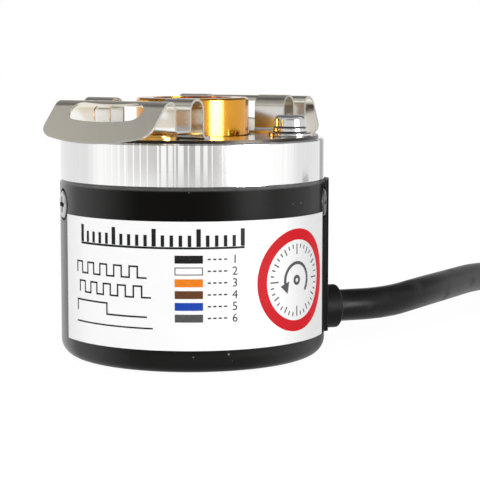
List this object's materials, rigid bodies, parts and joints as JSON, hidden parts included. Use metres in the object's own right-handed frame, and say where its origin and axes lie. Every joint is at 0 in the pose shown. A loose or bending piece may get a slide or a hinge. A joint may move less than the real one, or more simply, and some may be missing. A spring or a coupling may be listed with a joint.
{
  "type": "hollow shaft rotary encoder",
  "caption": "Round incremental encoder with a brass hollow shaft, a bent spring bracket with slotted ears, a black cover with a plain label and a cable with bare leads",
  "frame": {"origin": "middle of the flat underside of the rear cover, on the shaft axis", "axes": "+Z is the shaft axis and points out of the bore; -Y is the front with the label; +X is towards the cable outlet"},
  "size_m": [0.1583, 0.1193, 0.039],
  "materials": {
    "aluminium": "turned, bright",
    "cover_plastic": "satin, fine moulded grain",
    "label_white": "printed film",
    "brass": "turned, polished",
    "stainless": "rolled spring sheet",
    "screw_steel": "bright plated",
    "dark_steel": "black oxide",
    "bearing_steel": "ground",
    "cage_brass": "pressed",
    "disc_glass": "clear",
    "track_film": "etched lines",
    "lamp_lens": "tinted",
    "inner_plastic": "moulded",
    "board": "solder mask",
    "can_aluminium": "drawn can",
    "header_plastic": "moulded",
    "wire_mixed": "insulated wire",
    "rubber_black": "matte",
    "cable_jacket": "matte jacket",
    "tie_plastic": "moulded",
    "lead_black": "insulation",
    "lead_white": "insulation",
    "lead_orange": "insulation",
    "lead_brown": "insulation",
    "lead_blue": "insulation",
    "lead_shield": "bare drain wire"
  },
  "bodies": {
    "housing": {"bearing_circlip": "dark_steel", "board_pillars": "brass", "board_screws": "screw_steel", "bracket_lock_washers": "screw_steel", "bracket_ring": "stainless", "bracket_rivets": "screw_steel", "bracket_screws": "screw_steel", "bracket_washers": "screw_steel", "cable": "cable_jacket", "cable_bushing": "rubber_black", "cable_coil": "cable_jacket", "cable_crimp": "screw_steel", "cable_tail": "cable_jacket", "cable_tie": "tie_plastic", "capacitor": "can_aluminium", "circuit_board": "board", "cover_screws": "dark_steel", "flange": "aluminium", "front_bearing_outer_ring": "bearing_steel", "front_bearing_shields": "bearing_steel", "front_spring_leaf": "stainless", "inner_wires": "wire_mixed", "label_plate": "label_white", "lamp": "lamp_lens", "lamp_holder": "inner_plastic", "lead_black": "lead_black", "lead_blue": "lead_blue", "lead_brown": "lead_brown", "lead_orange": "lead_orange", "lead_shield": "lead_shield", "lead_white": "lead_white", "light_sensor": "inner_plastic", "outer_spacer": "bearing_steel", "output_chip": "inner_plastic", "rear_bearing_outer_ring": "bearing_steel", "rear_bearing_shields": "bearing_steel", "rear_cover": "cover_plastic", "rear_spring_leaf": "stainless", "reticle": "disc_glass", "wire_header": "header_plastic"},
    "rotor": {"hollow_shaft": "brass", "set_screws": "dark_steel", "front_bearing_inner_ring": "bearing_steel", "rear_bearing_inner_ring": "bearing_steel", "inner_spacer": "bearing_steel", "shaft_circlip": "dark_steel", "disc_hub": "brass", "code_disc": "disc_glass", "code_track": "track_film", "disc_washer": "screw_steel", "disc_screw": "screw_steel"},
    "front_ball_row": {"front_bearing_balls": "bearing_steel", "front_bearing_cage": "cage_brass"},
    "rear_ball_row": {"rear_bearing_balls": "bearing_steel", "rear_bearing_cage": "cage_brass"}
  },
  "joints": [
    {"name": "shaft_spin", "type": "hinge", "parent": "housing", "child": "rotor", "pos_m": [0, 0, 0.0328], "axis": [0, 0, 1], "continuous": true},
    {"name": "front_ball_orbit", "type": "hinge", "parent": "housing", "child": "front_ball_row", "pos_m": [0, 0, 0.0287], "axis": [0, 0, 1], "continuous": true},
    {"name": "rear_ball_orbit", "type": "hinge", "parent": "housing", "child": "rear_ball_row", "pos_m": [0, 0, 0.0227], "axis": [0, 0, 1], "continuous": true}
  ],
  "couplings": [
    {"joint": "front_ball_orbit", "follows": "shaft_spin", "ratio": 0.441},
    {"joint": "rear_ball_orbit", "follows": "shaft_spin", "ratio": 0.441}
  ]
}
